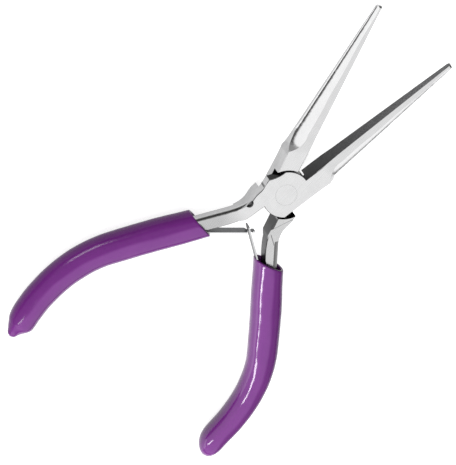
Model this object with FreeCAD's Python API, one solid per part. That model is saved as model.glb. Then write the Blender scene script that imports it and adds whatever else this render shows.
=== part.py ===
import FreeCAD, Part
import math
import os

# Spring-return slim-jaw jewellery pliers, lap jointed, with slip-on PVC grips.
#
# Frame: origin on the pivot axis at the joint's flat underside, +Z along the pivot axis,
# +Y towards the jaw tips, +X to the right.  Millimetres and degrees.
# Each half is drawn closed, with its jaw left of the closing plane X = 0 and the joint's
# mid-plane at Z = 0.  The rear half is then swung open about the pivot, and the front half
# is the same forging turned half a turn about Y.

V = FreeCAD.Vector
ORIGIN = V(0, 0, 0)
PIVOT_AXIS = V(0, 0, 1)
TOOL_AXIS = V(0, 1, 0)

# ---- driving dimensions --------------------------------------------------------------
OPEN_HALF_ANGLE = 13.67     # swing of each half from closed to the sprung-open rest pose
JAW_LENGTH = 64.0           # pivot axis to jaw tip
JOINT_HALF = 3.72           # half thickness of the joint
BOSS_RADIUS = 7.65          # round boss of each half
BOSS_GAP = 0.5              # boss to the concave shoulder of the other half
MATING_GAP = 0.02           # lap face to the joint's mid-plane
JAW_FACE_GAP = 0.03         # gripping face to the closing plane when closed
EDGE_BREAK = 0.2            # small chamfer along the joint's edges
CUT_REACH = 12.0            # how far the grinding cuts run past the lines they start from
CUT_CLEAR = 7.5             # and how high they reach, past the joint's faces

SIDE_X = 6.0                # straight outer side of the joint, from the closing plane
SIDE_FLARE = [(6.0, 7.0), (6.08, 10.5), (6.35, 15.0)]   # where it eases out into the jaw
NECK_CORNER = (7.7, -1.3)   # outermost point of the neck beside the boss
NECK_INNER_X = 1.3          # inner side of the neck
NECK_HOLLOW = [(6.5, 2.4), (6.9, 0.6), NECK_CORNER]     # concave shoulder above the corner
NECK_OUTER = [NECK_CORNER, (6.95, -3.3), (6.3, -5.1), (6.1, -7.0), (5.35, -9.4),
              (4.95, -11.4), (5.05, -13.2), (5.4, -14.8)]
NECK_ROOT = [(5.4, -14.8), (3.6, -16.6), (2.2, -16.2), (1.5, -14.6)]
RIDGE = [(1.65, -11.6), (6.1, -6.2)]                    # end of the neck's full thickness
RIDGE_SLOPE = 0.45          # run of the step below the ridge over its height
FACET = [(2.13, -13.82, 2.7), (5.1, -16.98, 2.7), (5.6, -6.8, 3.7)]    # slope below the ridge
LOWER_RAMP = [(2.1, -12.9), (5.45, -8.9)]               # edge of the ramp on the lap side
LOWER_RAMP_PROFILE = [(0.0, 3.72), (1.4, 3.3), (3.2, 2.68), (14.0, 2.3)]
RELIEF = (5.45, -10.6, 4.1)                             # ball-cut relief at the ramp's outer end
RELIEF_RADIUS = 1.5
GROUND_END_Y = 13.6         # where the ground joint faces end on the jaw
RAMP_END_Y = 20.0           # where the jaw's own taper begins
RAMP_END_HALF = 3.07        # half thickness of the jaw there
JAW_BASE_WIDTH = 7.35       # jaw width from the closing plane at its base
TIP_PROFILE = [(0.7, 1.08), (0.15, 0.75), (0.0, 0.42), (-1.0, 0.42)]  # from tip, half thickness
TIP_WIDTH = 1.73            # width at the tip, from the closing plane
TIP_ARC = [(-0.33, 0.0), (-1.25, 0.42), (-2.0, 1.7)]    # rounded corner: across, from the tip

ROUND_START_Y = 12.0        # where the rounded back of the jaw begins
ROUND_RUN_OUT = 1.8         # length over which its curve runs out into the joint's side
RUN_OUT_ACROSS = 0.9        # extra size of the rounding at the start, across
RUN_OUT_THROUGH = 3.4       # and through the thickness
ROUND_BASE = 3.75           # through-thickness radius of the rounded back at its start
ROUND_TIP = 1.18            # and at the tip
ROUND_STATIONS = [11.9, 13.0, 14.2, 15.6, 17.4, 20.0, 24.0, 30.0, 38.0, 46.0, 55.0, 64.0]

# Edges of the handle's section: size across, through the thickness, and flatness
# (1 is an elliptic rounding, 2 a straight bevel).
TANG_INNER_EDGE = (0.4, 0.4, 1.0)
TANG_OUTER_UPPER = (1.8, 1.9, 1.7)
TANG_OUTER_LOWER = (1.9, 1.35, 1.0)
TANG_EDGE_STEPS = 6
TANG_OUTER_EXTRA = 0.35     # how much further the outer side stands from the handle line
TANG_END = 0.955            # fraction of the handle line where the steel ends

GRIP_WALL = 0.9             # PVC wall at the mouth
GRIP_FIT = 0.04             # PVC to steel
REAR_MOUTH_Y = -23.5        # mouth of the rear grip, closed pose
FRONT_MOUTH_Y = -26.2       # mouth of the front grip, closed pose
HOLLOW_END_Y = -42.0        # inner end of the hollow at the mouth
HOLLOW_LAST_RING = 0.5      # fraction of the handle line that the hollow's skin needs

LEAF_THICKNESS = 0.5
LEAF_WIDTH = 3.7
LEAF_ROOT = 9.5             # length riveted flat against the handle
LEAF_FREE = 17.0            # bend to the crossing of the two leaves
LEAF_FIT = 0.02             # leaf to its seat
SEAT_BEYOND = 1.0           # ground seat beyond both ends of the riveted root
NECK_WIDTH = 1.0            # tongue where it passes through the slot
SLOT_WIDTH = 1.5
KNOB_WIDTH = 2.1
SLOT_BEFORE = 1.35          # slot length either side of the crossing
SLOT_AFTER = 0.9
SLOTTED_END = 1.05          # flat part of the slotted leaf beyond the crossing
CURL_RADIUS = 1.6           # curled end of the slotted leaf
CURL_ANGLE = 25.0
NECK_BEFORE = 1.1           # narrow neck of the tongue either side of the crossing
NECK_AFTER = 0.8
TONGUE_END = 1.6            # tongue beyond the crossing
LEAF_SPACE = 0.12           # room round the leaf inside the grip

PIVOT_RADIUS = 2.6          # shank of the pivot rivet
PIVOT_HEAD_RADIUS = 3.4     # flush countersunk ends
PIVOT_HEAD_DEPTH = 0.9
RUNNING_FIT = 0.04          # radial clearance of the pivot rivet
RIVET_RADIUS = 0.8          # spring rivet shank
RIVET_HEAD_RADIUS = 1.45
RIVET_HEAD_HEIGHT = 0.6
RIVET_DEPTH = 2.9           # shank depth in the handle
RIVET_FIT = 0.03
RIVET_BOTTOM_GAP = 0.1      # end of the shank to the bottom of its hole
RIVET_PLACE = 0.62          # along the riveted root of the leaf, from the bend

# Line down the middle of the handle and its grip, closed pose, from the joint to the tip.
HANDLE_LINE = [(3.15, -9.0), (3.4, -13.5), (4.35, -16.8), (5.8, -20.0), (7.45, -23.5),
               (11.0, -31.3), (15.3, -40.8), (19.3, -50.0), (22.1, -58.7), (23.1, -67.3),
               (22.3, -76.2), (20.3, -84.7), (18.0, -92.7)]

# Fraction of the handle line, in-plane width and half thickness of the steel.
TANG_SECTIONS = [(0.0, 3.3, 2.7), (0.055, 3.75, 2.7), (0.11, 4.15, 2.7), (0.17, 4.1, 2.7),
                 (0.27, 4.2, 2.7), (0.40, 4.9, 2.8), (0.55, 5.6, 2.9), (0.72, 5.6, 2.9),
                 (0.86, 5.2, 2.8), (TANG_END, 3.6, 2.1)]

# Fraction of the handle line, in-plane and through-thickness radius of the grip, and how far
# its middle sits off the handle line towards the other handle.
GRIP_SECTIONS = [(0.12, 4.75, 4.4, 0.25), (0.25, 4.9, 4.4, 0.18), (0.38, 5.05, 4.4, 0.0),
                 (0.48, 5.0, 4.4, 0.0), (0.58, 4.85, 4.35, -0.2), (0.68, 4.75, 4.3, -0.14),
                 (0.80, 4.6, 4.25, -0.14), (0.89, 4.4, 4.2, 0.05)]
GRIP_RINGS_PER_SECTION = 2  # rings drawn between neighbouring rows above
GRIP_DOME_LENGTH = 8.6      # rounded end beyond the last row
GRIP_DOME_STEPS = [0.12, 0.28, 0.45, 0.62, 0.78, 0.90, 0.97, 0.997]
GRIP_END_LEAN = 0.2         # how far the end leans towards the other handle


# ---- small helpers -------------------------------------------------------------------
def plan_point(xy, z=0.0):
    return V(xy[0], xy[1], z)


def blend(a, b, part_way):
    return a + (b - a) * part_way


def prism(wire, low, high):
    face = Part.Face(wire)
    face.translate(V(0, 0, low))
    return face.extrude(V(0, 0, high - low))


def line(a, b):
    return Part.LineSegment(a, b).toShape()


def lines(points):
    return [line(a, b) for a, b in zip(points, points[1:])]


def arc(a, middle, b):
    return Part.Arc(a, middle, b).toShape()


def on_circle(radius, degrees):
    angle = math.radians(degrees)
    return V(radius * math.cos(angle), radius * math.sin(angle), 0)


def handle_curve():
    curve = Part.BSplineCurve()
    curve.interpolate([plan_point(p) for p in HANDLE_LINE])
    return curve


HANDLE = handle_curve()
HANDLE_LENGTH = HANDLE.length()


def station(fraction):
    """Point on the handle line, its direction, and the side that faces the other handle."""
    parameter = HANDLE.parameterAtDistance(fraction * HANDLE_LENGTH)
    along = HANDLE.tangent(parameter)[0]
    inward = V(along.y, -along.x, 0)
    return HANDLE.value(parameter), along, inward


# ---- forging -------------------------------------------------------------------------
def smooth(points):
    curve = Part.BSplineCurve()
    curve.interpolate([plan_point(p) for p in points])
    return curve.toShape()


def joint_outline():
    """Plan outline of jaw, boss and neck: one closed wire on the mid-plane."""
    inner_x = -JAW_FACE_GAP
    top = V(inner_x, math.sqrt(BOSS_RADIUS ** 2 - inner_x ** 2), 0)
    neck_start = on_circle(BOSS_RADIUS, 33.0)
    neck_end = V(NECK_INNER_X, -math.sqrt(BOSS_RADIUS ** 2 - NECK_INNER_X ** 2), 0)
    side_low = V(-SIDE_X, -math.sqrt(BOSS_RADIUS ** 2 - SIDE_X ** 2), 0)
    flare = [V(-x, y, 0) for x, y in SIDE_FLARE]
    edges = [arc(top, on_circle(BOSS_RADIUS, 60.0), neck_start)]
    edges.append(smooth([(neck_start.x, neck_start.y)] + NECK_HOLLOW))
    edges.append(smooth(NECK_OUTER))
    edges += lines([plan_point(p) for p in NECK_ROOT] + [neck_end])
    edges.append(arc(neck_end, on_circle(BOSS_RADIUS, -110.0), side_low))
    edges += [line(side_low, flare[0]), arc(*flare)]
    edges += lines([flare[2], V(flare[2].x, JAW_LENGTH, 0), V(inner_x, JAW_LENGTH, 0), top])
    return Part.Wire(edges)


def edge_broken_plate():
    """The outline at full joint thickness, its edges on both flat faces broken."""
    plate = prism(joint_outline(), -JOINT_HALF, JOINT_HALF)
    rims = [e for e in plate.Edges if abs(abs(e.CenterOfMass.z) - JOINT_HALF) < 0.001]
    return plate.makeChamfer(EDGE_BREAK, rims)


def face_cut(start, finish, profile, side):
    """Solid that grinds one face down beyond the line start-finish.

    profile lists (distance beyond the line, remaining half thickness).  side is +1 for the
    upper face and -1 for the lower one."""
    a = plan_point(start)
    b = plan_point(finish)
    along = (b - a).normalize()
    beyond = V(along.y, -along.x, 0)
    base = a - along * CUT_REACH
    points = [base + beyond * d + V(0, 0, side * z) for d, z in profile]
    last = profile[-1][0]
    points.append(base + beyond * last + V(0, 0, side * CUT_CLEAR))
    points.append(base + beyond * profile[0][0] + V(0, 0, side * CUT_CLEAR))
    face = Part.Face(Part.makePolygon(points + points[:1]))
    return face.extrude(along * ((b - a).Length + 2 * CUT_REACH))


def ridge_cut():
    """Solid that takes the neck below the ridge down to a slope, with a small step."""
    a, b = [plan_point(p, JOINT_HALF) for p in RIDGE]
    along = (b - a).normalize()
    beyond = V(along.y, -along.x, 0)
    foot = V(0, 0, -JOINT_HALF) + beyond * (RIDGE_SLOPE * JOINT_HALF)
    out = beyond * CUT_REACH
    above_ridge = V(0, 0, CUT_CLEAR)
    side = [a, a + foot, a + foot + out, a + out + above_ridge, a + above_ridge]
    block = Part.Face(Part.makePolygon([p - along * CUT_REACH for p in side + side[:1]]))
    block = block.extrude(along * ((b - a).Length + 2 * CUT_REACH))
    corner, right, top = [V(*p) for p in FACET]
    u = (right - corner).normalize()
    up = u.cross(top - corner).normalize()
    w = up.cross(u)
    size = 3.0 * CUT_REACH
    square = [corner + (u * i + w * j) * size for i, j in ((-1, -1), (1, -1), (1, 1), (-1, 1))]
    above = Part.Face(Part.makePolygon(square + square[:1])).extrude(up * size)
    return block.common(above)


def jaw_thickness_cuts():
    """Solids that thin the jaw on both faces, from the joint to its rounded tip."""
    profile = [(0.0, JOINT_HALF), (RAMP_END_Y - GROUND_END_Y, RAMP_END_HALF)]
    profile += [(JAW_LENGTH - GROUND_END_Y - back, half) for back, half in TIP_PROFILE]
    start = (0.0, GROUND_END_Y)
    finish = (-JAW_BASE_WIDTH, GROUND_END_Y)
    return [face_cut(start, finish, profile, side) for side in (1, -1)]


def half_round():
    """Tapering elliptic body that rounds the outer back of the jaw and runs out at its base."""
    wires = []
    for y in ROUND_STATIONS:
        part_way = (y - ROUND_START_Y) / (JAW_LENGTH - ROUND_START_Y)
        run_out = math.exp((ROUND_START_Y - y) / ROUND_RUN_OUT)
        across = blend(JAW_BASE_WIDTH, TIP_WIDTH, part_way) + RUN_OUT_ACROSS * run_out
        through = blend(ROUND_BASE, ROUND_TIP, part_way) + RUN_OUT_THROUGH * run_out
        ellipse = Part.Ellipse(ORIGIN, across, through)
        edge = ellipse.toShape()
        edge.rotate(ORIGIN, V(1, 0, 0), 90)
        edge.translate(V(0, y, 0))
        wires.append(Part.Wire([edge]))
    return Part.makeLoft(wires, True, False)


def rounded_tip():
    """Everything outside the rounded outer corner of the jaw tip, in plan."""
    a, middle, b = [V(x, JAW_LENGTH - back, 0) for x, back in TIP_ARC]
    far = V(b.x, JAW_LENGTH, 0)
    wire = Part.Wire([arc(a, middle, b), line(b, far), line(far, a)])
    return prism(wire, -JOINT_HALF, JOINT_HALF)


def tang_corner(at, side, up, w, h, edge):
    """One corner of the handle's section, from its side to its face."""
    across, through, flatness = edge
    spots = []
    for k in range(TANG_EDGE_STEPS + 1):
        turn = 0.5 * math.pi * k / TANG_EDGE_STEPS
        from_side = across * (1.0 - math.cos(turn) ** flatness)
        from_face = through * (1.0 - math.sin(turn) ** flatness)
        spots.append(at(side * (w - from_side), up * (h - from_face)))
    curve = Part.BSplineCurve()
    curve.interpolate(spots)
    return curve.toShape(), spots[0], spots[-1]


def tang_wire(fraction, width, half, grow=0.0):
    """Section across the handle: crisp on the inner side, bevelled or round on the outer."""
    centre, along, inward = station(fraction)
    w = width / 2 + grow
    h = half + grow

    def at(u, z):
        return centre + inward * u + V(0, 0, z)

    corners = ((1, 1, TANG_INNER_EDGE), (-1, 1, TANG_OUTER_UPPER),
               (-1, -1, TANG_OUTER_LOWER), (1, -1, TANG_INNER_EDGE))
    edges = []
    ends = []
    for side, up, shape in corners:
        out = w if side > 0 else w + TANG_OUTER_EXTRA
        edge, low, high = tang_corner(at, side, up, out, h, shape)
        edges.append(edge)
        ends.append((low, high) if side * up > 0 else (high, low))
    flats = [line(a[1], b[0]) for a, b in zip(ends, ends[1:] + ends[:1])]
    return Part.Wire([edge for pair in zip(edges, flats) for edge in pair])


def tang(grow=0.0):
    wires = [tang_wire(f, w, h, grow) for f, w, h in TANG_SECTIONS]
    return Part.makeLoft(wires, True, False)


def lap_recess():
    """Space above the lap face that the other half's boss turns in."""
    return Part.makeCylinder(BOSS_RADIUS + BOSS_GAP, 2 * JOINT_HALF, V(0, 0, -MATING_GAP))


def pivot_rivet(grow=0.0):
    """Shank with a countersunk flush head at each end."""
    half = JOINT_HALF
    r = PIVOT_RADIUS + grow
    head = PIVOT_HEAD_RADIUS + grow
    profile = [(0, -half), (head, -half), (r, -half + PIVOT_HEAD_DEPTH),
               (r, half - PIVOT_HEAD_DEPTH), (head, half), (0, half)]
    points = [V(x, 0, z) for x, z in profile]
    face = Part.Face(Part.makePolygon(points + points[:1]))
    return face.revolve(ORIGIN, PIVOT_AXIS, 360)


# ---- springs -------------------------------------------------------------------------
class Seat:
    """Where a leaf spring lies on the inner side of the handle, and which way it leaves."""

    bend = V(7.46, -28.45, 0)
    along = V(0.418, -0.908, 0).normalize()      # down the handle, along the seat
    inward = V(-0.908, -0.418, 0).normalize()    # off the handle, towards the other one
    free = V(-0.663, 0.748, 0).normalize()       # from the bend to the crossing
    off = V(-0.748, -0.663, 0).normalize()       # off the free part, inward side


def strip(points, width):
    return prism(Part.makePolygon(points + points[:1]), -width / 2, width / 2)


def leaf_blank(length, grow=0.0):
    """Bent strip from its riveted root to length past the bend."""
    t = LEAF_THICKNESS + grow
    root_face = Seat.bend + Seat.inward * (LEAF_FIT - grow)
    near = root_face + Seat.along * (LEAF_ROOT + grow)
    tip = root_face + Seat.free * length
    half_turn = Seat.inward.getAngle(Seat.off) / 2
    mitre = (Seat.inward + Seat.off).normalize() * ((t + grow) / math.cos(half_turn))
    points = [near, root_face, tip, tip + Seat.off * (t + grow), root_face + mitre,
              near + Seat.inward * (t + grow)]
    return strip(points, LEAF_WIDTH + 2 * grow)


def across_leaf(start, finish, width):
    """Bar through the leaf between two distances past the bend, centred in its width."""
    deep = Seat.off * (2.0 * LEAF_WIDTH)
    a = Seat.bend + Seat.free * start - deep / 2
    b = Seat.bend + Seat.free * finish - deep / 2
    points = [a, b, b + deep, a + deep]
    return strip(points, width)


def rivet_hole(radius, depth):
    centre = Seat.bend + Seat.along * (RIVET_PLACE * LEAF_ROOT)
    start = centre + Seat.inward * (LEAF_THICKNESS + 2 * LEAF_FIT)
    length = depth + LEAF_THICKNESS + 2 * LEAF_FIT
    return Part.makeCylinder(radius, length, start, Seat.inward.negative())


def tongue_spring():
    """Leaf whose narrow neck passes through the slot and ends in a knob."""
    end = LEAF_FREE + TONGUE_END
    neck_start = LEAF_FREE - NECK_BEFORE
    knob_start = LEAF_FREE + NECK_AFTER
    root = leaf_blank(neck_start)
    neck = across_leaf(neck_start - NECK_WIDTH, knob_start + NECK_WIDTH / 2, NECK_WIDTH)
    knob = across_leaf(knob_start, end, KNOB_WIDTH)
    strap = root.fuse(leaf_blank(end).common(neck.fuse(knob)))
    return strap.cut(rivet_hole(RIVET_RADIUS + RIVET_FIT, RIVET_DEPTH)).removeSplitter()


def slotted_spring():
    """Leaf with a closed slot near its end and a tip that curls back to its own handle."""
    end = LEAF_FREE + SLOTTED_END
    blank = leaf_blank(end)
    slot = across_leaf(LEAF_FREE - SLOT_BEFORE, LEAF_FREE + SLOT_AFTER, SLOT_WIDTH)
    inner = Seat.bend + Seat.inward * LEAF_FIT + Seat.free * end
    centre = inner - Seat.off * CURL_RADIUS
    sector = math.radians(CURL_ANGLE)
    rings = []
    for r in (CURL_RADIUS, CURL_RADIUS + LEAF_THICKNESS):
        spread = [centre + (Seat.off * math.cos(k * sector) + Seat.free * math.sin(k * sector)) * r
                  for k in (0, 0.5, 1)]
        rings.append(spread)
    wire = Part.Wire([arc(*rings[0]), line(rings[0][2], rings[1][2]),
                      arc(*rings[1][::-1]), line(rings[1][0], rings[0][0])])
    curl = prism(wire, -LEAF_WIDTH / 2, LEAF_WIDTH / 2)
    body = blank.fuse(curl).cut(slot)
    return body.cut(rivet_hole(RIVET_RADIUS + RIVET_FIT, RIVET_DEPTH)).removeSplitter()


def spring_rivet():
    """Blind rivet with a low bevelled head on the leaf."""
    centre = Seat.bend + Seat.along * (RIVET_PLACE * LEAF_ROOT)
    base = centre + Seat.inward * (LEAF_THICKNESS + 2 * LEAF_FIT)
    r = RIVET_HEAD_RADIUS
    rim = RIVET_HEAD_HEIGHT / 2
    shank_length = RIVET_DEPTH + LEAF_THICKNESS - RIVET_BOTTOM_GAP
    shank = Part.makeCylinder(RIVET_RADIUS, shank_length + rim, V(0, 0, -shank_length))
    head = Part.makeCylinder(r, rim)
    crown = Part.makeCone(r, r - rim, rim, V(0, 0, rim))
    rivet = shank.fuse([head, crown]).removeSplitter()
    rivet.Placement = FreeCAD.Placement(base, FreeCAD.Rotation(PIVOT_AXIS, Seat.inward))
    return rivet


def leaf_seat():
    """Ground flat on the handle that the leaf is riveted to."""
    a = Seat.bend - Seat.along * SEAT_BEYOND
    b = Seat.bend + Seat.along * (LEAF_ROOT + SEAT_BEYOND)
    points = [a, b, b + Seat.inward * LEAF_WIDTH, a + Seat.inward * LEAF_WIDTH]
    return strip(points, 4 * JOINT_HALF)


# ---- grips ---------------------------------------------------------------------------
def section_ellipse(fraction, across, through, lean=0.0):
    centre, along, inward = station(fraction)
    turn = FreeCAD.Rotation(inward, V(0, 0, 1), along, "XYZ")
    edge = Part.Ellipse(ORIGIN, across, through).toShape()
    edge.Placement = FreeCAD.Placement(centre + inward * lean, turn)
    return Part.Wire([edge])


def grip_rings():
    """Rings of the grip's full part, evenly spaced between the rows of GRIP_SECTIONS."""
    rings = []
    for low, high in zip(GRIP_SECTIONS, GRIP_SECTIONS[1:]):
        for k in range(GRIP_RINGS_PER_SECTION):
            part_way = k / GRIP_RINGS_PER_SECTION
            rings.append([blend(a, b, part_way) for a, b in zip(low, high)])
    rings.append(list(GRIP_SECTIONS[-1]))
    return rings


def grip_body():
    """Full part and rounded end in one smooth skin."""
    wires = [section_ellipse(*ring) for ring in grip_rings()]
    last, across, through, offset = GRIP_SECTIONS[-1]
    for step in GRIP_DOME_STEPS:
        scale = math.sqrt(1.0 - step ** 2)
        fraction = last + step * GRIP_DOME_LENGTH / HANDLE_LENGTH
        lean = offset + GRIP_END_LEAN * step ** 2
        wires.append(section_ellipse(fraction, across * scale, through * scale, lean))
    return Part.makeLoft(wires, True, False)


def grip_hollow():
    """Hollow mouth, wider than the steel, that runs in as far as HOLLOW_END_Y."""
    wires = [section_ellipse(f, a - GRIP_WALL, b - GRIP_WALL, lean)
             for f, a, b, lean in grip_rings() if f < HOLLOW_LAST_RING]
    hollow = Part.makeLoft(wires, True, False)
    return hollow.cut(half_space_below(HOLLOW_END_Y))


def half_space_below(y):
    """Everything from y down past the handle's end."""
    size = 2.0 * JAW_LENGTH
    return Part.makeBox(size, size, size, V(-size / 2, y - size, -size / 2))


def grip(mouth_y):
    body = grip_body().common(half_space_below(mouth_y))
    body = body.cut(grip_hollow())
    body = body.cut(tang(GRIP_FIT))
    return body.cut(leaf_blank(LEAF_FREE, LEAF_SPACE))


# ---- assembly ------------------------------------------------------------------------
def forging():
    plate = edge_broken_plate()
    width = 2.0 * CUT_REACH
    jaw_zone = Part.makeBox(width, JAW_LENGTH, width, V(-width / 2, ROUND_START_Y, -width / 2))
    jaw = plate.common(jaw_zone).common(half_round())
    body = plate.cut(jaw_zone).fuse(jaw)
    for cut in jaw_thickness_cuts():
        body = body.cut(cut)
    body = body.cut(rounded_tip())
    body = body.cut(ridge_cut())
    body = body.cut(face_cut(*LOWER_RAMP, LOWER_RAMP_PROFILE, -1))
    x, y, z = RELIEF
    body = body.cut(Part.makeSphere(RELIEF_RADIUS, V(x, y, -z)))
    body = body.cut(lap_recess())
    body = body.fuse(tang())
    body = body.cut(leaf_seat())
    return body.cut(rivet_hole(RIVET_RADIUS + RIVET_FIT, RIVET_DEPTH)).removeSplitter()


def place(shape, front):
    """Swing a closed-pose shape open, turn it over for the front half, and lift it."""
    placed = shape.copy()
    placed.rotate(ORIGIN, PIVOT_AXIS, OPEN_HALF_ANGLE)
    if front:
        placed.rotate(ORIGIN, TOOL_AXIS, 180)
    placed.translate(V(0, 0, JOINT_HALF))
    return placed


def build():
    half = forging()
    leaf_rivet = spring_rivet()
    pivot = pivot_rivet()
    return {
        "rear_half": place(half.cut(pivot_rivet(RUNNING_FIT)), False),
        "front_half": place(half.cut(pivot_rivet(RUNNING_FIT)), True),
        "pivot_rivet": place(pivot, True),
        "rear_grip": place(grip(REAR_MOUTH_Y), False),
        "front_grip": place(grip(FRONT_MOUTH_Y), True),
        "slotted_spring": place(slotted_spring(), False),
        "tongue_spring": place(tongue_spring(), True),
        "rear_spring_rivet": place(leaf_rivet, False),
        "front_spring_rivet": place(leaf_rivet, True),
    }


if __name__ == "__main__":
    os.makedirs("parts", exist_ok=True)
    for name, shape in build().items():
        shape.exportStep(os.path.join("parts", name + ".step"))
        print(name, len(shape.Solids), "solid(s), valid", shape.isValid(), round(shape.Volume, 1), "mm3")
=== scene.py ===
import bpy
import bmesh
import math
import numpy as np
from mathutils import Matrix, Vector

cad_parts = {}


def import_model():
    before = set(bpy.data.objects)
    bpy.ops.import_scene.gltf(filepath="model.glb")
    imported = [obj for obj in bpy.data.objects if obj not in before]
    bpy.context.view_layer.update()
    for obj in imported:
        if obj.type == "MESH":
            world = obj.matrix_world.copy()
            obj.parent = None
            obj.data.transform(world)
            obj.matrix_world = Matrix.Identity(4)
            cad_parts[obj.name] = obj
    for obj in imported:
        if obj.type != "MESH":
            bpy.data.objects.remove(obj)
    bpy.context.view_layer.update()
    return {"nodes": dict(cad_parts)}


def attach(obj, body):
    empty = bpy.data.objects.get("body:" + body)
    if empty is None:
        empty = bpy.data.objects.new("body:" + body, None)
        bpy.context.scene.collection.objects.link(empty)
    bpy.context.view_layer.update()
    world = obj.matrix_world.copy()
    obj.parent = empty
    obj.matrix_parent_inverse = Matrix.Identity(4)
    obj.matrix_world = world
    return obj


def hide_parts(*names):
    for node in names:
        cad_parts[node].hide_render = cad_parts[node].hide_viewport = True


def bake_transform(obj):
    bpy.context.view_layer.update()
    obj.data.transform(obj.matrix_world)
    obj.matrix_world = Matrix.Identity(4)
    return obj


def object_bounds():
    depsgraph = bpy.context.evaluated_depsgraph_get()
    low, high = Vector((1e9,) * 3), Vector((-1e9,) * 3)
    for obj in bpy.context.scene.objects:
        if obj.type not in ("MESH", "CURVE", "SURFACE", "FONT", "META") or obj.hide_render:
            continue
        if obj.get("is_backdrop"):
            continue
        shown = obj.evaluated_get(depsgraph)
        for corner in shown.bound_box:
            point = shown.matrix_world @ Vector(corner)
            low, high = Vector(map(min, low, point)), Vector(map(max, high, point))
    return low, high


# Looks for the spring-return slim-jaw pliers.  The object's frame is in metres: origin on
# the pivot axis at the joint's underside, +Z out of the joint, +Y towards the jaws.  Shapes
# are drawn in millimetres in the closed pose of one half, then placed.

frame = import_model()
NODES = frame["nodes"]

MM = 0.001
OPEN_HALF_ANGLE = math.radians(13.67)
JOINT_HALF = 3.72           # half thickness of the joint

# ---- handle line and grips, millimetres, closed pose ---------------------------------
HANDLE_LINE = [(3.15, -9.0), (3.4, -13.5), (4.35, -16.8), (5.8, -20.0), (7.45, -23.5),
               (11.0, -31.3), (15.3, -40.8), (19.3, -50.0), (22.1, -58.7), (23.1, -67.3),
               (22.3, -76.2), (20.3, -84.7), (18.0, -92.7)]
# fraction of the line, in-plane radius, through radius, offset towards the other handle
GRIP_SECTIONS = [(0.10, 4.75, 4.4, 0.25), (0.25, 4.9, 4.4, 0.18), (0.38, 5.05, 4.4, 0.0),
                 (0.48, 5.0, 4.4, 0.0), (0.58, 4.85, 4.35, -0.2), (0.68, 4.75, 4.3, -0.14),
                 (0.80, 4.6, 4.25, -0.14), (0.92, 4.4, 4.2, 0.0)]
# fraction, scale of the last section, offset: the dipped ends differ from grip to grip
REAR_END = [(0.92, 1.0, 0.0), (0.945, 0.96, -0.2), (0.965, 0.86, -0.5), (0.98, 0.72, -0.8),
            (0.991, 0.55, -1.05), (0.999, 0.36, -1.2), (1.003, 0.2, -1.25), (1.0045, 0.08, -1.3)]
FRONT_END = [(0.90, 1.02, 0.05), (0.925, 1.01, 0.30), (0.941, 0.98, 0.50), (0.950, 0.94, 0.55),
             (0.960, 0.84, 0.55), (0.971, 0.70, 0.42), (0.981, 0.57, 0.32), (0.988, 0.48, 0.32),
             (0.9935, 0.42, 0.34), (1.0, 0.365, 0.40), (1.006, 0.277, 0.43), (1.0103, 0.17, 0.45),
             (1.0125, 0.06, 0.46)]
REAR_MOUTH_Y = -23.5
FRONT_MOUTH_Y = -26.2
GRIP_WALL = 0.9
HOLLOW_DEPTH = 15.0         # visible inner wall, from the mouth
SECTION_POWER = 2.25        # 2 is an ellipse; a little more is fuller at the corners
AROUND = 72
ALONG = 120
LIP_STEPS = 7
WALL_STEPS = 8
END_RISE = 0.08             # how far the middle of the closed end stands past its last ring
MOUTH_SEARCH = (0.05, 0.45)             # part of the handle line that holds the mouth
MOUTH_HALVINGS = 30
SKIN_WAVES = (0.03, 0.008)  # heights of the long and short unevenness of the dipped skin

# ---- leaf springs --------------------------------------------------------------------
LEAF_BEND = Vector((7.46, -28.45))
LEAF_SEAT = Vector((0.418, -0.908)).normalized()     # down the handle
LEAF_RUN = Vector((-0.663, 0.748)).normalized()      # from the bend to the crossing
LEAF_ROOT = 9.5
LEAF_FREE = 17.0
LEAF_THICKNESS = 0.5
LEAF_WIDTH = 3.7
LEAF_FIT = 0.02
BEND_RADIUS = 1.2
TONGUE_NECK_WIDTH = 1.0
TONGUE_KNOB_WIDTH = 2.1
TONGUE_NECK = (-1.1, 0.8)   # from and to, past the crossing
TONGUE_END = 1.6
SLOT_WIDTH = 1.5
SLOT = (-1.35, 0.9)
SLOTTED_END = 1.05
CURL_RADIUS = 1.6
CURL_ANGLE = math.radians(25.0)
SEAT_STEPS = 10
BEND_STEPS = 5
RUN_STEPS = 44
CURL_STEPS = 6
LEAF_GRID = (-0.5, -0.32, -0.15, 0.0, 0.15, 0.32, 0.5)  # rows across, as parts of the width
SLOTTED_ROW = 0.7           # row between slot and edge, as a part of the half width
SHEARED_EDGE = 0.09
SHARP = math.radians(40)    # corners sharper than this are rounded

# ---- camera --------------------------------------------------------------------------
CAMERA_PLACE = Vector((-0.22012, 0.06518, 0.43534))
IMAGE_RIGHT = Vector((0.7316746, 0.63903389, 0.23725087))
IMAGE_DOWN = Vector((0.52141823, -0.74887106, 0.40904176))
LENS = 122.66
SENSOR = 36.0
CLIP = (0.01, 20.0)

# ---- light and floor -----------------------------------------------------------------
UP = (0, 0, 1)
LIGHT_AIM = Vector((0, -0.02, 0.004))
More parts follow.
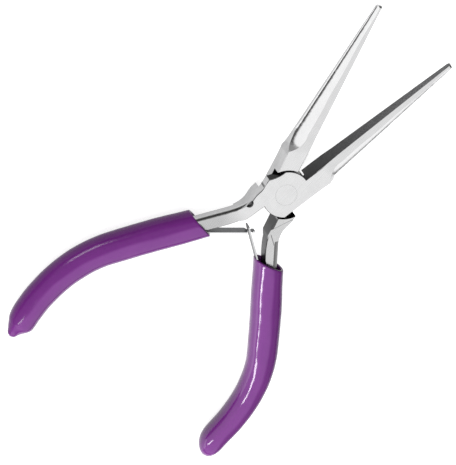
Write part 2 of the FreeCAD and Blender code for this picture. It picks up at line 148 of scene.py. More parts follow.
# direction it comes from, distance, width, height, radiance, direction of its height
LIGHTS = {"key": ((0.05, -0.75, 0.65), 1.0, 0.6, 0.6, 4.4, UP),
          "lamp": ((-0.14, -0.60, 0.79), 1.1, 0.13, 0.50, 18.0, (0.11, 0.27, 0.23)),
          "sheen": ((-0.80, 0.27, 0.53), 1.1, 0.45, 0.30, 16.0, UP),
          "side": ((-0.45, -0.87, 0.2), 1.2, 1.0, 0.6, 1.5, UP)}
ROOM = 0.10                 # strength of the dim room
SOFT = 1.16                 # strength of the large soft source
SOFT_FROM = (0.25, -0.60, 0.76)
SOFT_EDGE = (0.22, 0.42)    # cosine of the angle from its middle, over which it fades
ROOM_TOP = (0.05, 0.32)     # height, as a sine, over which the dark room ends
FLOOR_GLOW = 0.8
FLOOR_TONES = (0.58, 0.61)
FLOOR_ROUGH = 0.9
FLOOR_HALF = 3.0


def grey(value, cool=0.0):
    """A grey, with a little more blue if asked."""
    return (value, value, value + cool, 1.0)


# ---- tones and textures --------------------------------------------------------------
# Noises: features per metre, detail, roughness.  Pairs are the two ends of a mottled tone or
# of a roughness.  Depths are of bumps, in metres.  Many tones that change from place to place
# are painted to stand in for the lighting of the photograph, and are not known to be the
# object's own: jaw, handle, bevel, recess, relief and crease tones, and the grips' shaded side.
STEEL_CLOUD = (260.0, 4.0)
STEEL_FLECK = (2600.0, 5.0, 0.65)
GRINDING = (900.0, 3.0, 0.6)
LEAF_CLOUD = (700.0, 4.0)
LEAF_FLECK = (5200.0, 4.0, 0.6)
VINYL_CLOUD = (120.0, 3.0)
VINYL_MOTTLE = (900.0, 4.0, 0.6)
VINYL_PITS = (4200.0, 2.0, 0.5)
FLOOR_CLOUD = (14.0, 3.0)
POLISH = (grey(0.62, 0.005), grey(0.72, 0.002))
# sideways-facing walls, painted darker than the flats as shade
SIDE_SHADE_TONES = (grey(0.27, 0.005), grey(0.50, 0.003))
JAW_FACE = (grey(0.014, 0.001), grey(0.19, 0.005))
INSIDE_DARK = (grey(0.022, 0.001), grey(0.075, 0.002))      # near the joint, and further down
INSIDE_LIGHT = (grey(0.065, 0.002), grey(0.150, 0.003))
RECESS_TONE = grey(0.006, 0.001)
RELIEF_TONE = grey(0.07, 0.002)
CREASE_TONE = grey(0.15, 0.002)
JAW_TONES = (grey(0.93), grey(1.15))    # ground flats and rounded back, against the polish
POLISH_ROUGH = (0.10, 0.20)
GROUND_ROUGH = (0.20, 0.34)
# roughness of the dark gripping and inner faces
DARK_FACE_ROUGH = (0.34, 0.54)
BEVEL_ROUGH = 0.3
RUN_OUT_ROUGH = 0.48
FULL_LEVEL = 0.5            # specular level of the steel and of the vinyl off its painted shaded side
RECESS_LEVEL = 0.05
SIDE_SHADE_LINES = 0.5          # how much of the mottling in the sides' painted shade is grinding lines
GRIND_ALONG = (9.0, 0.35, 2.0)          # stretch of the fine grinding lines
GRIND_ACROSS = (0.35, 9.0, 2.0)
LINE_DEPTH = 0.0000035
CROSS_DEPTH = 0.0000015
CLOUD_DEPTH = 0.00002
# dark mottled tone of the leaf's faces
LEAF_FACE_TONES = ((0.045, 0.048, 0.052, 1), (0.11, 0.112, 0.115, 1))
LEAF_EDGE_TONE = grey(0.62, 0.01)
LEAF_EDGE_FACING = (0.5, 0.9)           # how far an edge turns up before it is bright
LEAF_ROUGH = (0.26, 0.46)
LEAF_GRAIN_DEPTH = 0.000002
VINYL = ((0.118, 0.014, 0.165, 1), (0.182, 0.027, 0.228, 1))
VINYL_ROUGH = (0.07, 0.13)
VINYL_MOTTLING = 0.3        # how much of the colour's change is mottling, not clouds
VINYL_PIT_FADE = (0.62, 0.8)
VINYL_IOR = 1.5
VINYL_COAT = 0.05
VINYL_COAT_ROUGH = 0.06
VINYL_SKIN_DEPTH = 0.000015
VINYL_MOTTLE_DEPTH = 0.000002
VINYL_PIT_DEPTH = 0.000001
SHADED_TONE = 0.8           # the painted dark side of a grip, against the rest
SHADED_LEVEL = 0.12
SHADED_ROUGH = 0.2
SHADED_FACING = (0.01, 0.20)
# by body: the horizontal direction the shaded side faces, and the tone of the whole grip, lower
# on the front one as painted shade
GRIP_SHADE = {"rear": ((0.74, 0.67, 0.0), 1.0), "front": ((-0.85, 0.52, 0.0), 0.84)}

# ---- where the steel changes ---------------------------------------------------------
# Each pair is where a fade starts and ends.  FACING is a cosine between the surface and a
# direction of the half, or with +-Z; the others are metres along or across the half, or
# from the pivot.
FLAT_FACING = (0.96, 0.995)
SIDE_FACING = (0.55, 0.25)
JAW_FACE_FACING = (0.93, 0.985)
JAW_FACE_FROM = (0.004, 0.006)
JAW_FROM = (0.013, 0.016)
JAW_BACK_FACING = (0.99, 0.96)
RUN_OUT_FROM = (0.0112, 0.0122)
RUN_OUT_TO = (0.0160, 0.0140)
RUN_OUT_FACING = (0.995, 0.96)
TIP_LIGHT_FLECKS = (0.3, 0.75)
TIP_LIGHT_ALONG = (0.004, 0.062, 0.12, 1.0)  # from, to, and how many lighter flecks show at each: painted light, brighter toward the tip
INSIDE_DIRECTION = (-0.95, -0.31)       # where the inner side of a handle's crank faces
INSIDE_FACING = (0.72, 0.90)
INSIDE_FROM = (-0.0078, -0.0088)
INSIDE_LIGHTENS = (-0.009, -0.019)
BEVEL_FROM = (-0.0050, -0.0062)
BEVEL_FACING = (0.94, 0.80)
BEVEL_SIDE_FACING = (0.2, 0.42)
# By half, True for the front one: where the handle's flat starts and ends darkening, and its
# tone there.
HANDLE_FLAT = {True: (-0.012, -0.022, 0.70), False: (-0.004, -0.009, 0.82)}
HANDLE_BEVEL = {True: 0.24, False: 0.12}        # tone of the rounded outer edge
RECESS_REACH = (0.0086, 0.0083)
LAP_LEVEL = (0.0003, 0.0001)
SHOULDER_FACING = (-0.80, -0.92)
WALL_FACING = (0.965, 0.98)
WALL_FROM = (0.0074, 0.00755)
WALL_TO = (0.0078, 0.0077)
WALL_SIDE = (0.0070, 0.0067)
NECK_SIDE = (0.0060, 0.0063)
NECK_FROM = (-0.0014, -0.0011)
NECK_TO = (0.0046, 0.0043)
NECK_FACING = (0.55, 0.75)
# Thin dark lines on the recess side of the neck, and the relief's middle, millimetres.
CREASES = (((1.65, -11.6), (6.0, -6.3)), ((2.1, -13.8), (5.1, -17.0)))
CREASE_HALF = 0.17
CREASE_CORE = 0.3           # part of its half width that is fully dark
CREASE_ENDS = (0.0004, 0.0006)
CREASE_FACING = (0.6, 0.8)
RELIEF = (5.45, -10.6, 4.1)
RELIEF_RADIUS = 1.53
RELIEF_EDGE = 0.97          # part of its radius inside which it is fully dark


def place(point, front):
    """A closed-pose point in millimetres to the object's frame: open, turn over, lift."""
    x, y, z = point
    c = math.cos(OPEN_HALF_ANGLE)
    s = math.sin(OPEN_HALF_ANGLE)
    x, y = x * c - y * s, x * s + y * c
    if front:
        x, z = -x, -z
    return Vector((x * MM, y * MM, (z + JOINT_HALF) * MM))


def new_object(name, bm, material, smooth=True):
    mesh = bpy.data.meshes.new(name)
    bmesh.ops.recalc_face_normals(bm, faces=bm.faces)
    bm.to_mesh(mesh)
    bm.free()
    for face in mesh.polygons:
        face.use_smooth = smooth
    mesh.materials.append(material)
    obj = bpy.data.objects.new(name, mesh)
    bpy.context.scene.collection.objects.link(obj)
    return obj


def applied(obj):
    """The object with its modifiers turned into mesh."""
    bpy.context.view_layer.update()
    graph = bpy.context.evaluated_depsgraph_get()
    mesh = bpy.data.meshes.new_from_object(obj.evaluated_get(graph))
    obj.modifiers.clear()
    obj.data = mesh
    return obj


# ---- curves --------------------------------------------------------------------------
LENGTH_SAMPLES = 2000
REACH = 0.05                # how far ahead and behind a direction is taken, millimetres


class Spline:
    """Natural cubic spline through points, parametrised by its own length."""

    def __init__(self, points):
        self.points = np.array(points, float)
        steps = np.linalg.norm(np.diff(self.points, axis=0), axis=1)
        self.knots = np.concatenate(([0.0], np.cumsum(steps)))
        self.curvature = self.solve(steps)
        fine = np.linspace(0, self.knots[-1], LENGTH_SAMPLES)
        path = np.array([self.at(t) for t in fine])
        run = np.linalg.norm(np.diff(path, axis=0), axis=1)
        self.lengths = np.concatenate(([0.0], np.cumsum(run)))
        self.fine = fine
        self.length = self.lengths[-1]

    def solve(self, steps):
        count = len(self.points)
        matrix = np.eye(count)
        right = np.zeros_like(self.points)
        for i in range(1, count - 1):
            before, after = steps[i - 1], steps[i]
            matrix[i, i - 1:i + 2] = before, 2 * (before + after), after
            rise = (self.points[i + 1] - self.points[i]) / after
            fall = (self.points[i] - self.points[i - 1]) / before
            right[i] = 6 * (rise - fall)
        return np.linalg.solve(matrix, right)

    def at(self, t):
        i = int(np.clip(np.searchsorted(self.knots, t) - 1, 0, len(self.knots) - 2))
        step = self.knots[i + 1] - self.knots[i]
        a = (self.knots[i + 1] - t) / step
        b = 1 - a
        low, high = self.curvature[i], self.curvature[i + 1]
        bow = ((a ** 3 - a) * low + (b ** 3 - b) * high) * step ** 2 / 6
        return a * self.points[i] + b * self.points[i + 1] + bow

    def station(self, fraction):
        """Point, direction, and the direction towards the other handle."""
        whole = np.interp(fraction * self.length, self.lengths, self.fine)
        past = max(fraction - 1.0, 0.0) * self.length
        ahead = self.at(min(whole + REACH, self.knots[-1]))
        behind = self.at(min(whole, self.knots[-1] - REACH) - REACH)
        along = Vector(ahead - behind).normalized()
        centre = Vector(self.at(whole)) + along * past
        return centre, along, Vector((along.y, -along.x))


HANDLE = Spline(HANDLE_LINE)


def smooth_rows(rows):
    """A function of the first column that runs smoothly through the others."""
    keys = np.array([r[0] for r in rows])
    values = np.array([r[1:] for r in rows], float)
    rises = np.diff(values, axis=0) / np.diff(keys)[:, None]
    slopes = np.zeros_like(values)
    for i in range(1, len(keys) - 1):
        same = rises[i - 1] * rises[i] > 0
        total = np.where(same, rises[i - 1] + rises[i], 1.0)
        slopes[i] = np.where(same, 2 * rises[i - 1] * rises[i] / total, 0.0)
    slopes[0], slopes[-1] = rises[0], rises[-1]

    def read(key):
        key = float(np.clip(key, keys[0], keys[-1]))
        i = int(np.clip(np.searchsorted(keys, key) - 1, 0, len(keys) - 2))
        step = keys[i + 1] - keys[i]
        t = (key - keys[i]) / step
        a = (1 + 2 * t) * (1 - t) ** 2
        b = t * (1 - t) ** 2 * step
        c = t ** 2 * (3 - 2 * t)
        d = t ** 2 * (t - 1) * step
        return a * values[i] + b * slopes[i] + c * values[i + 1] + d * slopes[i + 1]
    return read


# ---- materials -----------------------------------------------------------------------
class Nodes:
    """Short hand for building a node tree."""

    def __init__(self, tree):
        self.tree = tree
        self.coords = self.add("TexCoord")

    def add(self, kind):
        return self.tree.nodes.new("ShaderNode" + kind)

    def link(self, source, target):
        self.tree.links.new(source, target)

    def put(self, target, value):
        if isinstance(value, bpy.types.NodeSocket):
            self.link(value, target)
        else:
            target.default_value = value

    def noise(self, scale, detail=3.0, rough=0.5, stretch=(1, 1, 1)):
        """Noise of about `scale` features per metre."""
        stretched = self.add("Mapping")
        stretched.inputs["Scale"].default_value = stretch
        self.link(self.coords.outputs["Object"], stretched.inputs["Vector"])
        node = self.add("TexNoise")
        node.inputs["Scale"].default_value = scale
        node.inputs["Detail"].default_value = detail
        node.inputs["Roughness"].default_value = rough
        self.link(stretched.outputs["Vector"], node.inputs["Vector"])
        return node.outputs["Fac"]

    def math(self, operation, *values):
        node = self.add("Math")
        node.operation = operation
        for socket, value in zip(node.inputs, values):
            self.put(socket, value)
        return node.outputs[0]

    def product(self, *factors):
        total = factors[-1]
        for factor in factors[-2::-1]:
            total = self.math("MULTIPLY", factor, total)
        return total

    def most(self, *masks):
        """The largest of several masks."""
        total = masks[0]
        for mask in masks[1:]:
            total = self.math("MAXIMUM", total, mask)
        return total

    def plan_dot(self, a, b):
        """Sum of the products of the first two parts of a and b."""
        return self.math("ADD", self.math("MULTIPLY", a[0], b[0]),
                         self.math("MULTIPLY", a[1], b[1]))

    def spread(self, value, ends):
        """From one end to the other as value goes from 0 to 1."""
        return self.math("MULTIPLY_ADD", value, ends[1] - ends[0], ends[0])

    def share(self, a, part, b):
        """`part` of a and the rest of b."""
        return self.math("MULTIPLY_ADD", a, part, self.math("MULTIPLY", b, 1.0 - part))

    def ramp(self, value, low, high, out_low=0.0, out_high=1.0):
        node = self.add("MapRange")
        node.interpolation_type = "SMOOTHSTEP"
        for name, number in (("Value", value), ("From Min", low), ("From Max", high),
                             ("To Min", out_low), ("To Max", out_high)):
            self.put(node.inputs[name], number)
        return node.outputs["Result"]

    def mix_node(self, kind, factor, a, b):
        node = self.add("Mix")
        node.data_type = kind
        self.put(node.inputs["Factor"], factor)
        self.put(node.inputs["A"], a)
        self.put(node.inputs["B"], b)
        return node

    def mix(self, factor, a, b):
        return self.mix_node("RGBA", factor, a, b).outputs["Result"]

    def mix_value(self, factor, a, b):
        return self.mix_node("FLOAT", factor, a, b).outputs["Result"]

    def multiply(self, a, b):
        node = self.mix_node("RGBA", 1.0, a, b)
        node.blend_type = "MULTIPLY"
        return node.outputs["Result"]

    def split(self, vector):
        node = self.add("SeparateXYZ")
        self.link(vector, node.inputs[0])
        return node.outputs

    def dot(self, source, direction):
        node = self.add("VectorMath")
        node.operation = "DOT_PRODUCT"
        self.link(source, node.inputs[0])
        node.inputs[1].default_value = direction
        return node.outputs["Value"]


class Finish(Nodes):
    """A material around one Principled shader."""

    def __init__(self, name):
        self.material = bpy.data.materials.new(name)
        self.material.use_nodes = True
        super().__init__(self.material.node_tree)
        self.shader = self.tree.nodes["Principled BSDF"]

    def facing(self, direction):
        """Object-space normal against a fixed direction."""
        return self.dot(self.coords.outputs["Normal"], Vector(direction).normalized())

    def bump(self, heights):
        """Chains bumps given as (height socket, depth in metres)."""
        normal = None
        for height, depth in heights:
            node = self.add("Bump")
            node.inputs["Strength"].default_value = 1.0
            node.inputs["Distance"].default_value = depth
            self.link(height, node.inputs["Height"])
            if normal is not None:
                self.link(normal, node.inputs["Normal"])
            normal = node.outputs["Normal"]
        self.link(normal, self.shader.inputs["Normal"])

    def finish(self, **values):
        for name, value in values.items():
            self.put(self.shader.inputs[name.replace("_", " ")], value)
        return self.material


def turned(x, y, front):
    """A closed-pose in-plane direction of one half, in the object's frame."""
    v = place((x, y, 0), front) - place((0, 0, 0), front)
    return tuple(v.normalized())


class Half:
    """Places and facings on one half of the tool, as sockets of its material."""

    def __init__(self, n, front):
        self.front = front
        self.x, self.y, self.z = n.split(n.coords.outputs["Object"])
        self.normal = n.split(n.coords.outputs["Normal"])
        self.upward = n.math("ABSOLUTE", self.normal[2])
        self.flat = n.ramp(self.upward, *FLAT_FACING)
        self.inner = n.facing(turned(1, 0, front))
        self.across = n.plan_dot((self.x, self.y), turned(1, 0, front))
        self.along = n.plan_dot((self.x, self.y), turned(0, 1, front))


def joint_recess(n, half):
    """1 in the gap round the boss: lap floor, shoulder, boss wall and the neck's hollow."""
    spot = (half.x, half.y)
    radius = n.math("SQRT", n.plan_dot(spot, spot))
    outward = n.math("DIVIDE", n.plan_dot(spot, half.normal), radius)
    near = n.ramp(radius, *RECESS_REACH)
    level = n.math("ABSOLUTE", n.math("SUBTRACT", half.z, JOINT_HALF * MM))
    lap = n.product(n.ramp(level, *LAP_LEVEL), half.flat, near)
    shoulder = n.product(n.ramp(outward, *SHOULDER_FACING), near)
    wall = n.product(n.ramp(outward, *WALL_FACING), n.ramp(radius, *WALL_FROM),
                     n.ramp(radius, *WALL_TO), n.ramp(half.across, *WALL_SIDE))
    neck = n.product(n.ramp(half.across, *NECK_SIDE), n.ramp(half.along, *NECK_FROM),
                     n.ramp(half.along, *NECK_TO), n.ramp(half.inner, *NECK_FACING))
    return n.most(lap, shoulder, wall, neck)


def crease(n, half, ends):
    """1 along a straight line between two plan points given in millimetres."""
    start, end = [Vector(p) * MM for p in ends]
    run = (end - start).normalized()
    u = n.math("SUBTRACT", half.across, start.x)
    v = n.math("SUBTRACT", half.along, start.y)
    beside = n.math("SUBTRACT", n.math("MULTIPLY", u, run.y), n.math("MULTIPLY", v, run.x))
    past = n.plan_dot((u, v), run)
    width = CREASE_HALF * MM
    line = n.ramp(n.math("ABSOLUTE", beside), width, width * CREASE_CORE)
    length = (end - start).length
    return n.product(line, n.ramp(past, 0.0, CREASE_ENDS[0]),
                     n.ramp(past, length, length - CREASE_ENDS[1]),
                     n.ramp(half.normal[2], *CREASE_FACING))


def relief(n, half):
    """1 inside the small ball-shaped relief cut beside the joint."""
    lift = RELIEF[2] if half.front else -RELIEF[2]
    centre = (RELIEF[0] * MM, RELIEF[1] * MM, (JOINT_HALF + lift) * MM)
    total = 0.0
    for value, middle in zip((half.across, half.along, half.z), centre):
        away = n.math("SUBTRACT", value, middle)
        total = n.math("MULTIPLY_ADD", away, away, total)
    radius = RELIEF_RADIUS * MM
    return n.ramp(n.math("SQRT", total), radius, radius * RELIEF_EDGE)


def outer_steel(n, half, cloud, bevel):
    """Polish of the outside, with the painted tones of jaw, handle flat, bevel and creases."""
    bright = n.mix(cloud, *POLISH)
    jaw_tone = n.mix(n.ramp(half.upward, *JAW_BACK_FACING), *JAW_TONES)
    bright = n.multiply(bright, n.mix(n.ramp(half.along, *JAW_FROM), grey(1.0), jaw_tone))
    start, end, tone = HANDLE_FLAT[half.front]
    handle_tone = n.mix(n.ramp(half.along, start, end), grey(1.0), grey(tone))
    bright = n.multiply(bright, handle_tone)
    bright = n.mix(bevel, bright, grey(HANDLE_BEVEL[half.front]))
    if half.front:
        return bright
    for ends in CREASES:
        bright = n.mix(crease(n, half, ends), bright, CREASE_TONE)
    return bright


def inner_steel(n, half, fleck, handle_face):
    """Dark flecked tone of the jaw's gripping face and of the inner side of the handle."""
    # lighter flecks on the gripping face, more toward the tip: painted light
    fleck_and_tip_light = n.product(n.ramp(fleck, *TIP_LIGHT_FLECKS), n.ramp(half.along, *TIP_LIGHT_ALONG))
    lower = n.ramp(half.along, *INSIDE_LIGHTENS)
    handle = n.mix(fleck, n.mix(lower, *INSIDE_DARK), n.mix(lower, *INSIDE_LIGHT))
    return n.mix(handle_face, n.mix(fleck_and_tip_light, *JAW_FACE), handle)


def steel_roughness(n, half, cloud, lines, bevel):
    """Smooth polish, coarser on the ground flats, the bevel and where the jaw runs out."""
    rough = n.mix_value(half.flat, n.spread(cloud, POLISH_ROUGH), n.spread(lines, GROUND_ROUGH))
    rough = n.mix_value(bevel, rough, BEVEL_ROUGH)
    run_out = n.product(n.ramp(half.along, *RUN_OUT_TO), n.ramp(half.along, *RUN_OUT_FROM),
                        n.ramp(half.upward, *RUN_OUT_FACING))
    return n.mix_value(run_out, rough, RUN_OUT_ROUGH)


def polished_steel(name, front):
    """Bright polish; ground flats with fine straight lines; dark inner faces and recess."""
    n = Finish(name)
    half = Half(n, front)
    cloud = n.noise(*STEEL_CLOUD)
    fleck = n.noise(*STEEL_FLECK)
    lines = n.noise(*GRINDING, GRIND_ALONG)
    cross = n.noise(*GRINDING, GRIND_ACROSS)
    jaw_face = n.product(n.ramp(half.inner, *JAW_FACE_FACING), n.ramp(half.along, *JAW_FACE_FROM))
    handle_face = n.product(n.ramp(n.facing(turned(*INSIDE_DIRECTION, front)), *INSIDE_FACING),
                            n.ramp(half.along, *INSIDE_FROM))
    dark = n.most(jaw_face, handle_face)
    bevel = n.product(n.ramp(half.along, *BEVEL_FROM), n.ramp(half.upward, *BEVEL_FACING),
                      n.ramp(half.upward, *BEVEL_SIDE_FACING))
    side = n.product(n.ramp(half.upward, *SIDE_FACING), n.math("SUBTRACT", 1.0, bevel))
    recess = joint_recess(n, half)
    # Painted shade: sideways-facing walls take a darker mottled tone, partly grinding lines.
    side_shade = n.mix(n.share(lines, SIDE_SHADE_LINES, cloud), *SIDE_SHADE_TONES)
    color = n.mix(side, outer_steel(n, half, cloud, bevel), side_shade)
    color = n.mix(dark, color, inner_steel(n, half, fleck, handle_face))
    color = n.mix(recess, color, RECESS_TONE)
    color = n.mix(relief(n, half), color, RELIEF_TONE)
    rough = steel_roughness(n, half, cloud, lines, bevel)
    rough = n.mix_value(dark, rough, n.spread(fleck, DARK_FACE_ROUGH))
    n.bump([(lines, LINE_DEPTH), (cross, CROSS_DEPTH), (cloud, CLOUD_DEPTH)])
    metal = n.mix_value(recess, 1.0, 0.0)
    level = n.mix_value(recess, FULL_LEVEL, RECESS_LEVEL)
    return n.finish(Base_Color=color, Metallic=metal, Roughness=rough, Specular_IOR_Level=level)


def leaf_steel():
    """Dark strip with bright edges."""
    n = Finish("leaf_steel")
    edge = n.ramp(n.math("ABSOLUTE", n.facing(UP)), *LEAF_EDGE_FACING)
    fleck = n.noise(*LEAF_FLECK)
    color = n.mix(edge, n.mix(n.noise(*LEAF_CLOUD), *LEAF_FACE_TONES), LEAF_EDGE_TONE)
    n.bump([(fleck, LEAF_GRAIN_DEPTH)])
    return n.finish(Base_Color=color, Metallic=1.0, Roughness=n.spread(fleck, LEAF_ROUGH))


def vinyl(name, shaded_side, tone):
    """Glossy dipped vinyl: slightly uneven skin, faint mottling, tiny surface pits.

    The side facing shaded_side is painted darker and less glossy, to stand in for the
    photograph's lighting."""
    n = Finish(name)
    cloud = n.noise(*VINYL_CLOUD)
    mottle = n.noise(*VINYL_MOTTLE)
    pits = n.noise(*VINYL_PITS)
    shade = n.ramp(n.facing(shaded_side), *SHADED_FACING)
    color = n.mix(n.share(mottle, VINYL_MOTTLING, cloud), *VINYL)
    # tone scales the whole grip: painted shade where below 1
    color = n.multiply(color, n.mix(shade, grey(tone), grey(SHADED_TONE * tone)))
    level = n.mix_value(shade, FULL_LEVEL, SHADED_LEVEL)
    rough = n.mix_value(shade, n.spread(mottle, VINYL_ROUGH), SHADED_ROUGH)
    n.bump([(cloud, VINYL_SKIN_DEPTH), (mottle, VINYL_MOTTLE_DEPTH),
            (n.ramp(pits, *VINYL_PIT_FADE), VINYL_PIT_DEPTH)])
    n.shader.inputs["IOR"].default_value = VINYL_IOR
    n.shader.inputs["Coat Weight"].default_value = VINYL_COAT
    n.shader.inputs["Coat Roughness"].default_value = VINYL_COAT_ROUGH
    return n.finish(Base_Color=color, Roughness=rough, Specular_IOR_Level=level)


# ---- grips ---------------------------------------------------------------------------
def grip_point(read, fraction, angle, depth):
    """On the grip's section at a fraction of the handle line, `depth` below its skin."""
    centre, along, inward = HANDLE.station(fraction)
    across, through, offset = read(fraction)
    c, s = math.cos(angle), math.sin(angle)
    power = 2.0 / SECTION_POWER
    u = math.copysign(abs(c) ** power, c) * max(across - depth, 0.0)
    w = math.copysign(abs(s) ** power, s) * max(through - depth, 0.0)
    if abs(w) > through - depth:
        w = math.copysign(through - depth, w)
    spot = centre + inward * (u + offset)
    return Vector((spot.x, spot.y, w))


def mouth_fraction(read, angle, mouth_y):
    """Where the skin's line at this angle meets the mouth's plane."""
    low, high = MOUTH_SEARCH
    for _ in range(MOUTH_HALVINGS):
        middle = (low + high) / 2
        if grip_point(read, middle, angle, 0.0).y > mouth_y:
            low = middle
        else:
            high = middle
    return (low + high) / 2


def uneven(point):
    """Slow unevenness of the dipped skin, in millimetres; waves in radians per millimetre."""
    x, y, z = point
    a = math.sin(0.43 * y + 0.9 * x + 0.4) * math.sin(0.31 * x - 0.22 * y + 1.1)
    b = math.sin(1.05 * y - 0.6 * x + 0.8 * z)
    return SKIN_WAVES[0] * a + SKIN_WAVES[1] * b


def grip_profile(read, angle, mouth_y, end):
    """(fraction, depth) pairs from the hollow's end, over the lip, to the closed end."""
    start = mouth_fraction(read, angle, mouth_y)
    lip = GRIP_WALL / 2 / HANDLE.length
    pairs = []
    for k in range(WALL_STEPS):
        inside = HOLLOW_DEPTH * (1 - k / WALL_STEPS) / HANDLE.length
        pairs.append((start + lip + inside, GRIP_WALL))
    for k in range(LIP_STEPS):
        turn = math.pi * k / (LIP_STEPS - 1)
        pairs.append((start + lip * (1 - math.sin(turn)), GRIP_WALL / 2 * (1 + math.cos(turn))))
    body = end[-1][0] - start - lip
    for k in range(1, ALONG + 1):
        pairs.append((start + lip + body * k / ALONG, 0.0))
    return pairs


def skin_point(read, fraction, angle, depth):
    """As grip_point, with the skin's unevenness added on the outside."""
    spot = grip_point(read, fraction, angle, depth)
    centre = HANDLE.station(fraction)[0]
    out = Vector((spot.x - centre.x, spot.y - centre.y, spot.z))
    if depth == 0.0 and out.length > 0.01:
        spot = spot + out.normalized() * uneven(spot)
    return spot


def middle_of(rings, i):
    return sum((line[i].co for line in rings), Vector()) / AROUND


def grip_mesh(name, mouth_y, end, front, material):
    last = GRIP_SECTIONS[-1]
    closing = [(f, last[1] * k, last[2] * k, offset) for f, k, offset in end]
    read = smooth_rows(GRIP_SECTIONS[:-1] + closing)
    bm = bmesh.new()
    rings = []
    for j in range(AROUND):
        angle = 2 * math.pi * j / AROUND
        rings.append([bm.verts.new(place(skin_point(read, fraction, angle, depth), front))
                      for fraction, depth in grip_profile(read, angle, mouth_y, end)])
    for a, b in zip(rings, rings[1:] + rings[:1]):
        for i in range(len(a) - 1):
            bm.faces.new((a[i], a[i + 1], b[i + 1], b[i]))
    hollow_end = middle_of(rings, 0)
    tip = middle_of(rings, -1)
    tip = tip + (tip - middle_of(rings, -3)).normalized() * END_RISE * MM
    for i, centre in ((0, hollow_end), (-1, tip)):
        hub = bm.verts.new(centre)
        for a, b in zip(rings, rings[1:] + rings[:1]):
            bm.faces.new((a[i], b[i], hub))
    return new_object(name, bm, material)


# ---- leaf springs --------------------------------------------------------------------
def leaf_path(end, curled):
    """Mid-line of a leaf in plan from its root to its tip, and the way its free part runs."""
    inward = Vector((LEAF_SEAT.y, -LEAF_SEAT.x))
    off = Vector((-LEAF_RUN.y, LEAF_RUN.x))
    lift = LEAF_FIT + LEAF_THICKNESS / 2
    corner = LEAF_BEND + inward * lift
    root = corner + LEAF_SEAT * LEAF_ROOT
    tip = LEAF_BEND + off * lift + LEAF_RUN * end
    run = (tip - corner).normalized()
    before = corner + LEAF_SEAT * BEND_RADIUS
    after = corner + run * BEND_RADIUS
    path = [root.lerp(before, k / SEAT_STEPS) for k in range(SEAT_STEPS)]
    for k in range(BEND_STEPS + 1):
        t = k / BEND_STEPS
        path.append(before.lerp(corner, t).lerp(corner.lerp(after, t), t))
    path += [after.lerp(tip, k / RUN_STEPS) for k in range(1, RUN_STEPS + 1)]
    if curled:
        centre = tip - off * CURL_RADIUS
        for k in range(1, CURL_STEPS + 1):
            turn = CURL_ANGLE * k / CURL_STEPS
            path.append(centre + off * CURL_RADIUS * math.cos(turn)
                        + run * CURL_RADIUS * math.sin(turn))
    return path, run


def leaf_rows(slotted, past):
    """Heights of the grid's rows at a distance past the crossing."""
    if slotted:
        half = LEAF_WIDTH / 2
        row = half * SLOTTED_ROW
        slot = SLOT_WIDTH / 2
        return [-half, -row, -slot, 0.0, slot, row, half]
    width = LEAF_WIDTH
    if past > TONGUE_NECK[1]:
        width = TONGUE_KNOB_WIDTH
    elif past > TONGUE_NECK[0]:
        width = TONGUE_NECK_WIDTH
    return [width * part for part in LEAF_GRID]


def leaf_sheet(slotted, front):
    """Grid of the leaf's mid-surface, with the slot left open."""
    end = LEAF_FREE + (SLOTTED_END if slotted else TONGUE_END)
    path, run = leaf_path(end, slotted)
    crossing = LEAF_BEND + LEAF_RUN * LEAF_FREE
    bm = bmesh.new()
    grid = []
    for spot in path:
        rows = leaf_rows(slotted, (spot - crossing).dot(run))
        grid.append([bm.verts.new(place((spot.x, spot.y, z), front)) for z in rows])
    for a, b, low, high in zip(grid, grid[1:], path, path[1:]):
        middle = ((low + high) / 2 - crossing).dot(run)
        for i in range(len(a) - 1):
            hole = slotted and SLOT[0] < middle < SLOT[1] and i in (2, 3)
            if not hole:
                bm.faces.new((a[i], a[i + 1], b[i + 1], b[i]))
    return bm


def leaf_strip(name, front, slotted, material):
    """The leaf's mid-surface, thickened, with its sheared edges rounded."""
    obj = new_object(name, leaf_sheet(slotted, front), material, smooth=False)
    solid = obj.modifiers.new("thickness", "SOLIDIFY")
    solid.thickness = LEAF_THICKNESS * MM
    solid.offset = 0.0
    edge = obj.modifiers.new("edge", "BEVEL")
    edge.width = SHEARED_EDGE * MM
    edge.segments = 2
    edge.limit_method = "ANGLE"
    edge.angle_limit = SHARP
    return applied(obj)


def leaf_blend(obj):
    """Bakes the leaf's placement into its mesh."""
    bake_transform(obj)


# ---- the object ----------------------------------------------------------------------
def paint(node, material):
    mesh = NODES[node].data
    mesh.materials.clear()
    mesh.materials.append(material)


front_steel = polished_steel("front_steel", True)
rear_steel = polished_steel("rear_steel", False)
spring = leaf_steel()

for node, material in (("front_half", front_steel), ("rear_half", rear_steel),
                       ("pivot_rivet", front_steel), ("front_spring_rivet", spring),
                       ("rear_spring_rivet", spring)):
    paint(node, material)

GRIPS = {}
for body, mouth_y, end in (("rear", REAR_MOUTH_Y, REAR_END), ("front", FRONT_MOUTH_Y, FRONT_END)):
    skin = vinyl(body + "_vinyl", *GRIP_SHADE[body])
    sleeve = grip_mesh(body + "_vinyl_grip", mouth_y, end, body == "front", skin)
    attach(sleeve, body)
    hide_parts(body + "_grip")
    GRIPS[body] = sleeve

for own, other, slotted, node in (("rear", "front", True, "slotted_spring"),
                                  ("front", "rear", False, "tongue_spring")):
    leaf = leaf_strip(own + "_leaf", own == "front", slotted, spring)
    leaf_blend(leaf)
    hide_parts(node)


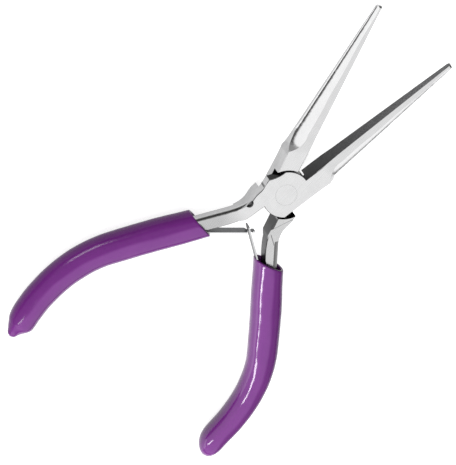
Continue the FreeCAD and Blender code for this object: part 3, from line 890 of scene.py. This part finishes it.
# ---- floor, light and camera ---------------------------------------------------------
def floor():
    n = Finish("floor")
    low_tone, high_tone = FLOOR_TONES
    tone = n.mix(n.noise(*FLOOR_CLOUD), grey(low_tone), grey(high_tone))
    n.shader.inputs["Emission Color"].default_value = grey(1.0)
    n.shader.inputs["Emission Strength"].default_value = FLOOR_GLOW
    material = n.finish(Base_Color=tone, Roughness=FLOOR_ROUGH)
    bm = bmesh.new()
    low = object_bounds()[0][2]
    corners = [bm.verts.new((x * FLOOR_HALF, y * FLOOR_HALF, low))
               for x, y in ((-1, -1), (1, -1), (1, 1), (-1, 1))]
    bm.faces.new(corners)
    table = new_object("floor", bm, material, smooth=False)
    table.visible_diffuse = False
    table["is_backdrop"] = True


def area_light(name, mirrored=True):
    """Rectangle facing the object; its radiance is how bright it looks."""
    direction, distance, width, height, radiance, up = LIGHTS[name]
    toward = Vector(direction).normalized()
    data = bpy.data.lights.new(name, "AREA")
    data.shape = "RECTANGLE"
    data.size = width
    data.size_y = height
    data.energy = radiance * math.pi * width * height
    light = bpy.data.objects.new(name, data)
    light.location = LIGHT_AIM + toward * distance
    side = Vector(up).cross(toward).normalized()
    axes = Matrix((side, toward.cross(side), toward)).transposed()
    light.rotation_euler = axes.to_euler()
    light.visible_glossy = mirrored
    bpy.context.scene.collection.objects.link(light)
    return light


def light_grips(name, bodies):
    """Light that falls on the grips of the named bodies alone."""
    light = area_light(name)
    group = bpy.data.collections.new(name + "_on")
    for body in bodies:
        group.objects.link(GRIPS[body])
    light.light_linking.receiver_collection = group


def world():
    """Dim room with one very large soft source over the handles' side."""
    scene = bpy.context.scene
    scene.world = scene.world or bpy.data.worlds.new("studio")
    scene.world.use_nodes = True
    n = Nodes(scene.world.node_tree)
    way = n.coords.outputs["Generated"]
    soft = n.product(n.ramp(n.dot(way, SOFT_FROM), *SOFT_EDGE),
                     n.ramp(n.split(way)["Z"], *ROOM_TOP))
    background = n.tree.nodes["Background"]
    background.inputs["Color"].default_value = grey(1.0)
    n.link(n.mix_value(soft, ROOM, SOFT), background.inputs["Strength"])


def camera():
    data = bpy.data.cameras.new("camera")
    data.lens = LENS
    data.sensor_width = SENSOR
    data.clip_start, data.clip_end = CLIP
    cam = bpy.data.objects.new("camera", data)
    back = IMAGE_RIGHT.cross(-IMAGE_DOWN)
    turn = Matrix((IMAGE_RIGHT, -IMAGE_DOWN, back)).transposed()
    cam.matrix_world = Matrix.Translation(CAMERA_PLACE) @ turn.to_4x4()
    bpy.context.scene.collection.objects.link(cam)
    bpy.context.scene.camera = cam


floor()
area_light("key", mirrored=False)
light_grips("lamp", ("rear", "front"))
light_grips("sheen", ("front",))
light_grips("side", ("rear",))
world()
camera()
bpy.context.scene.view_settings.view_transform = "Standard"
